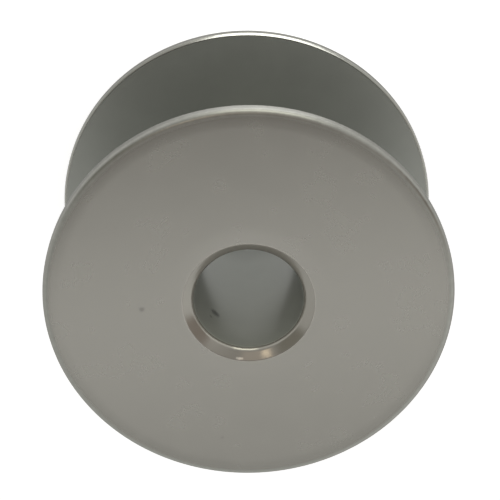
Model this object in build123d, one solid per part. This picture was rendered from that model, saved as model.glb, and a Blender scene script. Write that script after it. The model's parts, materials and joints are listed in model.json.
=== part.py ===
from build123d import *
import os

# Flanged bobbin, turned in one piece from aluminium bar: two thin round flanges on a
# hub that thread is wound on, with a plain bore through it for a spindle.
# It stands on its lower flange. The bore runs along Z, and the origin is the middle
# of the lower end face. The upper half is the mirror image of the lower half.

# Driving dimensions, in millimetres
flange_diameter = 20.3
overall_width = 12.0
flange_thickness = 0.75
hub_diameter = 8.4
bore_diameter = 5.4

# Finishing cuts, in millimetres
rim_round = 0.2  # outer corner of each flange
rim_chamfer = 0.1  # inner corner of each flange, only broken
hub_root_radius = 0.3  # nose radius of the grooving tool, where hub meets flange
countersink_width = 0.55  # lead-in at each end of the bore, measured across the face
countersink_depth = 0.4  # the same lead-in, measured along the bore
countersink_blend = 0.2  # rounding where the lead-in meets the end face

flange_radius = flange_diameter / 2
hub_radius = hub_diameter / 2
bore_radius = bore_diameter / 2


def lower_corners():
    """Corners of the lower half of the section, from the bore out and back to the hub.

    Each is (distance from the axis, height, rounding of the corner).
    """
    return [
        (bore_radius, countersink_depth, 0),
        (bore_radius + countersink_width, 0, countersink_blend),
        (flange_radius, 0, rim_round),
        (flange_radius, flange_thickness - rim_chamfer, 0),
        (flange_radius - rim_chamfer, flange_thickness, 0),
        (hub_radius, flange_thickness, hub_root_radius),
    ]


def section_corners():
    """All corners of the section: the lower half, and the same half turned over."""
    lower = lower_corners()
    upper = [(radius, overall_width - height, rounding) for radius, height, rounding in reversed(lower)]
    return lower + upper


def make_bobbin():
    """The whole bobbin, revolved from half of its lengthwise section."""
    corners = section_corners()
    with BuildPart() as bobbin:
        with BuildSketch(Plane.XZ):
            with BuildLine():
                FilletPolyline(
                    [(radius, height) for radius, height, _ in corners],
                    radius=[rounding for _, _, rounding in corners],
                    close=True,
                )
            make_face()
        revolve(axis=Axis.Z)
    return bobbin.part


os.makedirs("parts", exist_ok=True)
export_step(make_bobbin(), "parts/bobbin.step")
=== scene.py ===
import json
import math

import bmesh
import bpy
from mathutils import Matrix, Quaternion, Vector, noise


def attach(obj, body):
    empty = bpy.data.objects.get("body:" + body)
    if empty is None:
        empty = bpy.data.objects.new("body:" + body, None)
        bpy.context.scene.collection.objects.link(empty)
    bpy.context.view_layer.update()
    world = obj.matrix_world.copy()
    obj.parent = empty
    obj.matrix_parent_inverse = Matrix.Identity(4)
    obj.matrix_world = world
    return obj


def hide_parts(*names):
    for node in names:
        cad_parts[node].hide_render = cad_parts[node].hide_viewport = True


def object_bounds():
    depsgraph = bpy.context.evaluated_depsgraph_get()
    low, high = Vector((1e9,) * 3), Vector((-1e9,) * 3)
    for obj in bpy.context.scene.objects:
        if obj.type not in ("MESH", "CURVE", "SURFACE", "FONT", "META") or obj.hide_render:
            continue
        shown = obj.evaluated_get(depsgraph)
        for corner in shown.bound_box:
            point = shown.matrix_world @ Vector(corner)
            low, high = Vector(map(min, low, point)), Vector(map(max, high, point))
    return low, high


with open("model.json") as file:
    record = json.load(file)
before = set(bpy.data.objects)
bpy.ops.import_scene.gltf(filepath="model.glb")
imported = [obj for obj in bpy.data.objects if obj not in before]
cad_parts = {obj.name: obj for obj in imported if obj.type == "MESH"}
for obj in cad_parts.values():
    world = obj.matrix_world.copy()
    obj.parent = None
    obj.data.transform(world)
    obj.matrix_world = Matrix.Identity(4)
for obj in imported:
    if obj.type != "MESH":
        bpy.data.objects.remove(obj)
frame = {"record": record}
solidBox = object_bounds()
bobbinRadius = solidBox[1][0]
bobbinTop = solidBox[1][2]  # the bobbin stands on z = 0, round the z axis
mm = 0.001


# Shader helpers: a Term is one number in a node tree, so masks are written as sums and products

class Term:
    def __init__(self, shader, socket):
        self.shader = shader
        self.socket = socket

    def math(self, operation, *operands):
        return self.shader.math(operation, *operands)

    def __add__(self, other):
        return self.math("ADD", self, other)

    def __sub__(self, other):
        return self.math("SUBTRACT", self, other)

    def __rsub__(self, other):
        return self.math("SUBTRACT", other, self)

    def __mul__(self, other):
        return self.math("MULTIPLY", self, other)

    def __truediv__(self, other):
        return self.math("DIVIDE", self, other)

    __radd__ = __add__
    __rmul__ = __mul__

    def rise(self, start, end):  # 0 up to start, 1 from end on, smooth between them
        limits = {"Value": self, "From Min": start, "From Max": end}
        return self.shader.node("ShaderNodeMapRange", {"interpolation_type": "SMOOTHSTEP"}, limits)


class Shader:
    def __init__(self, owner):
        owner.use_nodes = True
        self.tree = owner.node_tree
        self.tree.nodes.clear()

    def node(self, kind, settings=None, inputs=None, output=None):
        made = self.tree.nodes.new(kind)
        for name, value in (settings or {}).items():
            if name == "stops":
                self.setStops(made.color_ramp, value)
            else:
                setattr(made, name, value)
        for name, value in (inputs or {}).items():
            socket = self.pick(made.inputs, name)
            if isinstance(value, Term):
                self.tree.links.new(value.socket, socket)
            else:
                socket.default_value = value
        return Term(self, self.pick(made.outputs, output)) if made.outputs else None

    def pick(self, sockets, name):  # by number or by name, or the first one in use
        if isinstance(name, int):
            return sockets[name]
        return next(socket for socket in sockets if socket.enabled and name in (None, socket.name))

    def setStops(self, ramp, stops):
        while len(ramp.elements) < len(stops):
            ramp.elements.new(0.5)
        for element, (place, color) in zip(ramp.elements, stops):
            element.position = place
            element.color = (*color, 1)

    def math(self, operation, *operands):
        return self.node("ShaderNodeMath", {"operation": operation}, dict(enumerate(operands)))

    def mix(self, mask, first, second):  # colours
        return self.node("ShaderNodeMix", {"data_type": "RGBA"}, {"Factor": mask, "A": first, "B": second})

    def scale(self, vector, amount):  # a vector, or a colour made lighter or darker
        return self.node("ShaderNodeVectorMath", {"operation": "SCALE"}, {"Vector": vector, "Scale": amount})

    def compare(self, operation, first, second):  # one number from two vectors
        return self.node("ShaderNodeVectorMath", {"operation": operation}, {0: first, 1: second}, "Value")

    def axis(self, vector, name):
        return self.node("ShaderNodeSeparateXYZ", {}, {"Vector": vector}, name)


# Camera: looks down on the upper flange, and is turned over so that the lower flange shows above it

cameraSpec = {
    "place": (0.0, -0.03555, 0.07807),
    "aim": (-0.00011, -0.00294),  # where the middle of the picture meets the upper end face
    "turn": 178.63,  # degrees about the line of sight
    "lens": 109.87,
    "clipStart": 0.001,  # the bobbin is nearer than Blender's usual limit
}


def makeCamera():
    data = bpy.data.cameras.new("viewCamera")
    data.lens = cameraSpec["lens"]
    data.clip_start = cameraSpec["clipStart"]
    camera = bpy.data.objects.new("viewCamera", data)
    bpy.context.collection.objects.link(camera)
    camera.location = cameraSpec["place"]
    sight = Vector((*cameraSpec["aim"], bobbinTop)) - camera.location
    turn = Quaternion(sight, -math.radians(cameraSpec["turn"]))
    camera.rotation_mode = "QUATERNION"
    camera.rotation_quaternion = turn @ sight.to_track_quat("-Z", "Y")
    bpy.context.scene.camera = camera
    print("placed the camera")


# Studio: a white floor, a grey room, and the lamps and cards whose reflections the metal shows

studioSpec = {
    "floorSize": 4.0,
    "floorGlow": 0.78,  # what the floor shows by itself; the rest is the light on it, so it keeps the shadow
    "floorColor": (0.5, 0.5, 0.5, 1),
    "dimSide": (0.0, -0.26, 0.97),  # the room is darkest this way, above and a little in front
    "room": [  # colours from the floor's level round to the dim side
        (0.0, (0.80, 0.81, 0.79)),
        (0.5, (0.74, 0.74, 0.72)),
        (0.8, (0.47, 0.46, 0.44)),
        (1.0, (0.35, 0.317, 0.293)),
    ],
    "sideways": 0.16,  # how much brighter the room is towards -X, and dimmer towards +X
    "sides": 0.18,  # how much brighter both sides are than front and back
    "darkCards": [  # direction and colour of each
        ((-0.865, -0.04, 0.50), (0.23, 0.18, 0.15)),
        ((0.72, -0.32, 0.615), (0.23, 0.22, 0.175)),
    ],
    "cardEdge": (0.92, 0.985),  # cosines between which a dark card fades in
}

lampSpecs = {  # bearing in degrees round from -Y, the front; each lamp faces the middle of the upper end face
    "backSoftbox": {
        "bearing": 183, "height": 61.7, "distance": 0.6,
        "size": (0.42, 0.056), "glow": 1.30, "color": (1.0, 1.0, 1.0),
    },
    "frontStrip": {
        "bearing": -7, "height": 7, "distance": 0.075,
        "size": (0.05, 0.046), "glow": 1.52, "color": (1.0, 1.0, 0.86),
    },
    "warmCard": {
        "bearing": 12, "height": 50, "distance": 0.5,
        "size": (0.30, 0.16), "glow": 0.3, "color": (1.0, 0.80, 0.62),
    },
    "goldCard": {
        "bearing": 26, "height": 46, "distance": 0.5,
        "size": (0.075, 0.045), "glow": 2.2, "color": (1.0, 0.82, 0.58),
    },
}
floorLampSpec = {  # faces down, and brightens the floor that the upper rim reflects
    "place": (-0.003, -0.026, 0.004),
    "size": (0.014, 0.026), "glow": 3.2, "color": (1.0, 1.0, 1.0),
}


def makeFloor():
    bm = bmesh.new()
    bmesh.ops.create_grid(bm, x_segments=1, y_segments=1, size=studioSpec["floorSize"] / 2)
    mesh = bpy.data.meshes.new("studioFloor")
    bm.to_mesh(mesh)
    bm.free()
    floor = bpy.data.objects.new("studioFloor", mesh)
    bpy.context.collection.objects.link(floor)
    mesh.materials.append(floorPaint())


def floorPaint():
    paint = bpy.data.materials.new("floorPaint")
    shader = Shader(paint)
    rays = ("Is Camera Ray", "Is Glossy Ray", "Is Transmission Ray")
    camera, glossy, through = (shader.node("ShaderNodeLightPath", output=ray) for ray in rays)
    strength = (camera + glossy + through) * studioSpec["floorGlow"]
    glow = shader.node("ShaderNodeEmission", {}, {"Strength": strength})
    lit = shader.node("ShaderNodeBsdfDiffuse", {}, {"Color": studioSpec["floorColor"]})
    both = shader.node("ShaderNodeAddShader", {}, {0: glow, 1: lit})
    shader.node("ShaderNodeOutputMaterial", {}, {"Surface": both})
    return paint


def makeRoom():
    world = bpy.data.worlds.new("room")
    bpy.context.scene.world = world
    shader = Shader(world)
    direction = shader.node("ShaderNodeTexCoord", output="Generated")
    dimness = shader.compare("DOT_PRODUCT", direction, studioSpec["dimSide"])
    color = shader.node("ShaderNodeValToRGB", {"stops": studioSpec["room"]}, {"Fac": dimness})
    for cardSide, cardColor in studioSpec["darkCards"]:
        card = shader.compare("DOT_PRODUCT", direction, cardSide).rise(*studioSpec["cardEdge"])
        color = shader.mix(card, color, (*cardColor, 1))
    side = shader.axis(direction, "X")
    level = 1 - side * studioSpec["sideways"] + side * side * studioSpec["sides"]
    light = shader.node("ShaderNodeBackground", {}, {"Color": color, "Strength": level})
    shader.node("ShaderNodeOutputWorld", {}, {"Surface": light})


def makeLamp(name, spec):
    lamp = bpy.data.lights.new(name, "AREA")
    lamp.shape = "RECTANGLE"
    lamp.size, lamp.size_y = spec["size"]
    lamp.energy = spec["glow"] * math.pi * lamp.size * lamp.size_y
    lamp.color = spec["color"]
    holder = bpy.data.objects.new(name, lamp)
    bpy.context.collection.objects.link(holder)
    holder.visible_camera = False
    return holder


def aimLamp(holder, spec):
    bearing, height = math.radians(spec["bearing"]), math.radians(spec["height"])
    level = math.cos(height)
    away = Vector((math.sin(bearing) * level, -math.cos(bearing) * level, math.sin(height)))
    holder.location = Vector((0, 0, bobbinTop)) + away * spec["distance"]
    holder.rotation_euler = (-away).to_track_quat("-Z", "Y").to_euler()


def makeStudio():
    makeFloor()
    makeRoom()
    for name, spec in lampSpecs.items():
        aimLamp(makeLamp(name, spec), spec)
    makeLamp("floorLamp", floorLampSpec).location = floorLampSpec["place"]
    bpy.context.scene.view_settings.view_transform = "Standard"
    print("lit the studio:", len(lampSpecs) + 1, "lamps")


# Bobbin: one section, rounded at its corners and turned about the bore's axis

bobbinSpec = {  # lengths in mm
    "flangeThickness": 0.75,
    "hubRadius": 4.2,
    "hubRoot": 0.3,
    "edgeWidth": 0.65,  # each end face falls away a little towards its rim
    "edgeFall": 0.045,
    "edgeRound": 8.0,
    "rimRound": 0.3,
    "innerChamfer": 0.10,  # breaks the inner corner of each flange
    "edgeBreak": 0.03,
    "countersinkWidth": 0.55,
    "countersinkDepth": 0.4,
    "countersinkBlend": 0.08,
    "boreEdge": 0.42,
    "burrWidth": 0.06,  # the burr stands on the inner edge of that chamfer
    "burrHeight": 0.004,
    "burrLevel": 0.55,  # the burr's usual height, as a share of burrHeight
    "burrPatch": 0.9,  # length of the slow changes in it, and of the quick ones
    "burrTooth": 0.25,
    "toothShare": 0.6,  # how much of the slow ones' height the quick ones have
    "arcSteps": 8,
    "ringSpacing": 1.0,
    "burrSpacing": 0.018,
    "turnSteps": 512,
    "tolerance": 0.001,
    "mergeDistance": 0.0001,
}


def sectionCorners():  # radius, height and rounding of each corner
    spec = bobbinSpec
    boreRadius = frame["record"]["mounts"][0]["dims"]["r_mm"]
    flangeRadius, top = bobbinRadius / mm, bobbinTop / mm
    burrRadius = flangeRadius - spec["innerChamfer"]
    lower = [
        (boreRadius, spec["countersinkDepth"], spec["boreEdge"]),
        (boreRadius + spec["countersinkWidth"], 0, spec["countersinkBlend"]),
        (flangeRadius - spec["edgeWidth"], 0, spec["edgeRound"]),
        (flangeRadius, spec["edgeFall"], spec["rimRound"]),
        (flangeRadius, spec["flangeThickness"] - spec["innerChamfer"], spec["edgeBreak"]),
        (burrRadius, spec["flangeThickness"], spec["edgeBreak"]),
        (burrRadius - 2 * spec["burrWidth"], spec["flangeThickness"], 0),
        (spec["hubRadius"], spec["flangeThickness"], spec["hubRoot"]),
    ]
    upper = [(radius, top - height, rounding) for radius, height, rounding in reversed(lower)]
    return lower + upper


def roundCorner(bm, corner, rounding):
    sides = [(edge.other_vert(corner).co - corner.co).normalized() for edge in corner.link_edges]
    halfAngle = sides[0].angle(sides[1]) / 2
    bmesh.ops.bevel(bm, geom=[corner], offset=rounding * mm / math.tan(halfAngle), offset_type="OFFSET",
                    segments=bobbinSpec["arcSteps"], profile=0.5, affect="VERTICES", material=-1)


def divideSection(bm):  # rings close together where the burrs stand, and wide apart elsewhere
    spec = bobbinSpec
    tolerance = spec["tolerance"] * mm
    burrStart = bobbinRadius - (spec["innerChamfer"] + 2 * spec["burrWidth"]) * mm - tolerance
    grooveStart = spec["flangeThickness"] * mm - tolerance
    for edge in bm.edges[:]:
        (radiusA, _, heightA), (radiusB, _, heightB) = (vert.co for vert in edge.verts)
        atBurr = heightA == heightB and min(radiusA, radiusB) > burrStart
        inGroove = grooveStart < heightA < bobbinTop - grooveStart
        spacing = spec["burrSpacing"] if atBurr and inGroove else spec["ringSpacing"]
        cuts = int(edge.calc_length() / (spacing * mm))
        if cuts:
            bmesh.ops.subdivide_edges(bm, edges=[edge], cuts=cuts)


def spinSection(bm):  # a quarter turn and then its reflections, because a full turn of so many steps is slow
    section = bm.verts[:] + bm.edges[:]
    bmesh.ops.spin(bm, geom=section, axis=(0, 0, 1), cent=(0, 0, 0), angle=math.tau / 4,
                   steps=bobbinSpec["turnSteps"] // 4)
    for axis in ("X", "Y"):
        bmesh.ops.mirror(bm, geom=bm.verts[:] + bm.edges[:] + bm.faces[:], matrix=Matrix(), axis=axis,
                         merge_dist=bobbinSpec["mergeDistance"] * mm)


def raiseBurrs(bm):  # the tool leaves a fine, broken lip where each inner face meets the rim
    spec = bobbinSpec
    burrRadius = bobbinRadius - spec["innerChamfer"] * mm
    innerDepth = (spec["flangeThickness"] - spec["innerChamfer"]) * mm
    for vert in bm.verts:
        depth = min(vert.co.z, bobbinTop - vert.co.z)
        radius = math.hypot(vert.co.x, vert.co.y)
        offset = abs(radius - burrRadius) / (spec["burrWidth"] * mm)
        if offset < 1 and depth > innerDepth:
            slow, quick = (noise.noise(vert.co / (spec[size] * mm)) for size in ("burrPatch", "burrTooth"))
            ragged = max(0, spec["burrLevel"] + slow + spec["toothShare"] * quick)
            rise = spec["burrHeight"] * mm * ragged * (1 - offset * offset) ** 2
            vert.co.z += rise if vert.co.z < bobbinTop / 2 else -rise


def turnBobbin():
    bm = bmesh.new()
    corners = sectionCorners()
    verts = [bm.verts.new((radius * mm, 0, height * mm)) for radius, height, _ in corners]
    bm.faces.new(verts)
    for vert, (_, _, rounding) in zip(verts, corners):
        if rounding:
            roundCorner(bm, vert, rounding)
    bmesh.ops.delete(bm, geom=bm.faces[:], context="FACES_ONLY")
    divideSection(bm)
    spinSection(bm)
    raiseBurrs(bm)
    bmesh.ops.recalc_face_normals(bm, faces=bm.faces[:])
    for face in bm.faces:
        face.smooth = True
    mesh = bpy.data.meshes.new("turnedBobbin")
    bm.to_mesh(mesh)
    bm.free()
    print("turned the bobbin:", len(mesh.polygons), "faces")
    return mesh


# Finish: satin faces, a duller groove between the flanges, and polished countersinks

finishSpec = {  # colour, roughness and metallic of each zone; a later zone covers an earlier one
    "face": ((0.305, 0.298, 0.272), 0.27, 1.0),
    "rim": ((0.300, 0.300, 0.277), 0.34, 1.0),
    "corner": ((0.355, 0.355, 0.328), 0.34, 1.0),
    "groove": ((0.367, 0.377, 0.353), 0.39, 0.92),
    "countersink": ((0.358, 0.344, 0.311), 0.16, 0.60),
    "bore": ((0.50, 0.515, 0.47), 0.31, 0.38),
    "burr": ((0.35, 0.35, 0.322), 0.26, 1.0),
}
borderSpec = {  # where zones give way to each other, in mm of radius, or of depth from the nearer end face
    "grooveDepth": (0.70, 0.75),
    "insideHub": (3.2, 3.4),  # in the metal between the bore and the hub's surface
    "countersinkRadius": (3.22, 3.34),
    "countersinkDepth": (0.40, 0.50),
    "boreRadius": (2.71, 2.76),
    "rimRadius": (9.78, 9.95),
    "cornerStart": (9.82, 9.90),
    "cornerEnd": (9.99, 10.06),
    "burrRadius": (9.99, 10.03),
    "burrDepth": (0.62, 0.65),
    "boreWall": (2.80, 2.90),
    "lipStart": (0.30, 0.36),
    "lipEnd": (0.45, 0.53),
    "mouthStart": (0.48, 0.58),
    "mouthEnd": (0.6, 2.6),
}
marksSpec = {
    "grain": 0.06,  # mm across each grain of the satin finish
    "grainShade": 0.01,
    "grainHeight": 0.00012,  # mm, as are the other heights
    "ringPitch": 0.13,  # mm between turning marks
    "ringWaver": 0.3,  # how soon a turning mark changes round the axis
    "ringRoughness": 0.006,
    "ringHeight": 0.00005,
    "countersinkRings": 0.0030,  # deeper turning marks in the countersinks
    "rimGrain": 0.3,  # mm across each ripple of the rims
    "rimGrainHeight": 0.0060,
    "rimPatches": 0.3,  # how much the rims' shade varies
    "mottle": 1.6,  # mm across each soft patch
    "mottleShade": 0.10,
    "mottleRoughness": 0.03,
    "specks": [  # place, radius and depth of each dark stain
        ((5.28, 0.19, 12.0), 0.15, 0.24),
        ((1.51, 7.77, 12.0), 0.08, 0.2),
        ((1.74, 2.06, 9.1), 0.30, 0.65),
        ((1.95, 1.87, 9.8), 0.10, 0.35),
    ],
    "nicks": [  # painted glint: the base colour is brightened in a short patch on a countersink's edge, standing in for a highlight
        ((0.64, 3.11, 11.94), 0.07, 1.1),
        ((0.52, 3.13, 11.94), 0.08, 1.4),
        ((0.40, 3.14, 11.94), 0.07, 1.1),
    ],
    "spotCore": 0.3,  # a spot is full up to here and gone past its fade, in parts of its radius
    "spotFade": 1.3,
    "spotRagged": 9.0,
    "lipShade": 0.30,  # painted highlight brightens the bore's edge and painted shade darkens its mouth, in the base colour
    "mouthShade": 0.20,
}


def zoneMasks(radius, depth):
    border = borderSpec
    groove = depth.rise(*border["grooveDepth"]) * radius.rise(*border["insideHub"])
    inward = depth.rise(*border["countersinkDepth"])
    corner = radius.rise(*border["cornerStart"]) * (1 - radius.rise(*border["cornerEnd"]))
    return {
        "rim": radius.rise(*border["rimRadius"]) * (1 - groove),
        "corner": corner * (1 - groove),
        "groove": groove,
        "countersink": (1 - radius.rise(*border["countersinkRadius"])) * (1 - inward),
        "bore": (1 - radius.rise(*border["boreRadius"])) * inward,
        "burr": radius.rise(*border["burrRadius"]) * depth.rise(*border["burrDepth"]),
    }


def paintedBoreLight(radius, depth):  # painted shade that darkens the bore's mouth, less the painted highlight that brightens its edge
    border, marks = borderSpec, marksSpec
    wall = 1 - radius.rise(*border["boreWall"])
    paintedLip = wall * depth.rise(*border["lipStart"]) * (1 - depth.rise(*border["lipEnd"]))
    paintedMouth = wall * depth.rise(*border["mouthStart"]) * (1 - depth.rise(*border["mouthEnd"]))
    return paintedMouth * marks["mouthShade"] - paintedLip * marks["lipShade"]


def noiseAt(shader, place, scale, detail):
    return shader.node("ShaderNodeTexNoise", {}, {"Vector": place, "Scale": scale, "Detail": detail})


def turningRings(shader, across, x, y):  # fine across the tool's path, and long around the axis
    pitch, waver = marksSpec["ringPitch"], marksSpec["ringWaver"]
    track = shader.node("ShaderNodeCombineXYZ", {}, {"X": across / pitch, "Y": x * waver, "Z": y * waver})
    return noiseAt(shader, track, 1.0, detail=1)


def spots(shader, place, name):
    total = 0
    ragged = noiseAt(shader, place, marksSpec["spotRagged"], detail=2) - 0.5
    for center, size, depth in marksSpec[name]:
        distance = shader.compare("DISTANCE", place, center) + ragged * size
        past = distance.rise(marksSpec["spotCore"] * size, marksSpec["spotFade"] * size)
        total = (1 - past) * depth + total
    return total


def satinAluminium():
    paint = bpy.data.materials.new("satinAluminium")
    shader = Shader(paint)
    marks = marksSpec
    place = shader.scale(shader.node("ShaderNodeTexCoord", output="Object"), 1 / mm)
    x, y, z = (shader.axis(place, name) for name in "XYZ")
    radius = shader.math("SQRT", x * x + y * y)
    depth = shader.math("MINIMUM", z, bobbinTop / mm - z)  # how far in from the nearer end face

    masks = zoneMasks(radius, depth)
    faceColor, roughness, metallic = finishSpec["face"]
    color = (*faceColor, 1)
    for name, mask in masks.items():
        zoneColor, zoneRoughness, zoneMetallic = finishSpec[name]
        color = shader.mix(mask, color, (*zoneColor, 1))
        roughness = mask * zoneRoughness + (1 - mask) * roughness
        metallic = mask * zoneMetallic + (1 - mask) * metallic

    mottle = noiseAt(shader, place, 1 / marks["mottle"], detail=3)
    grain = noiseAt(shader, place, 1 / marks["grain"], detail=1)
    ripples = noiseAt(shader, place, 1 / marks["rimGrain"], detail=2)
    rings = turningRings(shader, radius + z, x, y)
    # base colour multiplier: real stains, mottle and grain, plus painted glints and the bore's painted
    # highlight and painted shade
    toneAndPaintedLight = 1 - spots(shader, place, "specks") + spots(shader, place, "nicks") - paintedBoreLight(radius, depth)
    toneAndPaintedLight = toneAndPaintedLight + (mottle - 0.5) * marks["mottleShade"] + (grain - 0.5) * marks["grainShade"]
    toneAndPaintedLight = toneAndPaintedLight + masks["rim"] * (ripples - 0.5) * marks["rimPatches"]
    roughness = roughness + (mottle - 0.5) * marks["mottleRoughness"] + (rings - 0.5) * marks["ringRoughness"]
    height = grain * marks["grainHeight"] + rings * marks["ringHeight"]
    height = height + masks["countersink"] * rings * marks["countersinkRings"]
    height = height + masks["rim"] * ripples * marks["rimGrainHeight"]

    surface = shader.node("ShaderNodeBsdfPrincipled", {}, {
        "Base Color": shader.scale(color, toneAndPaintedLight),
        "Metallic": metallic,
        "Roughness": roughness,
        "Normal": shader.node("ShaderNodeBump", {}, {"Height": height, "Distance": mm}),
        "Specular Tint": (0.5, 0.5, 0.5, 1),  # keeps the rims' edges from whitening
    })
    shader.node("ShaderNodeOutputMaterial", {}, {"Surface": surface})
    print("mixed the aluminium's finish:", len(paint.node_tree.nodes), "nodes")
    return paint


def makeBobbin():
    mesh = turnBobbin()
    mesh.materials.append(satinAluminium())
    bobbin = bpy.data.objects.new("turnedBobbin", mesh)
    bpy.context.collection.objects.link(bobbin)
    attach(bobbin, "root")
    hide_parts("bobbin")
    print("set the bobbin in its place")


makeCamera()
makeStudio()
makeBobbin()
